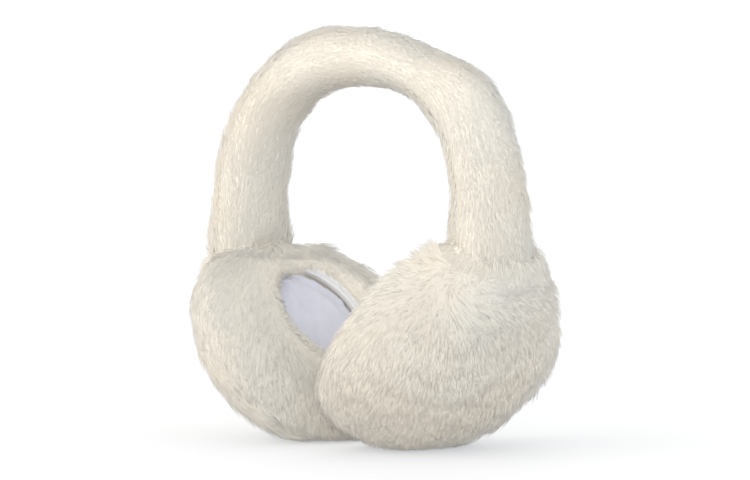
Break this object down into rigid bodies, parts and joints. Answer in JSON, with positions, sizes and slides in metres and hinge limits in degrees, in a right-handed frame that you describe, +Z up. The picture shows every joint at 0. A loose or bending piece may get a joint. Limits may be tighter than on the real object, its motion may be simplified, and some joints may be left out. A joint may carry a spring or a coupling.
{
  "type": "fur earmuffs",
  "caption": "Over-the-head earmuffs: an arched headband wrapped in thick pale fur, ending in domed fur pads that have a smooth fabric lining set in their inner faces.",
  "frame": {"origin": "on the surface that the earmuffs stand on, midway between the sides of the headband", "axes": "+X from the left pad to the right pad as seen from the front, +Y from front to back, +Z up"},
  "size_m": [0.2165, 0.134, 0.2156],
  "materials": {
    "fur": "long soft pile, warm ivory",
    "lining_rim": "smooth woven welt, off white",
    "lining_panel": "soft brushed satin, pale grey lavender"
  },
  "bodies": {
    "root": {"headband_fur": "fur", "ear_fur_left": "fur", "ear_rim_left": "lining_rim", "ear_panel_left": "lining_panel", "ear_fur_right": "fur", "ear_rim_right": "lining_rim", "ear_panel_right": "lining_panel"}
  },
  "joints": []
}
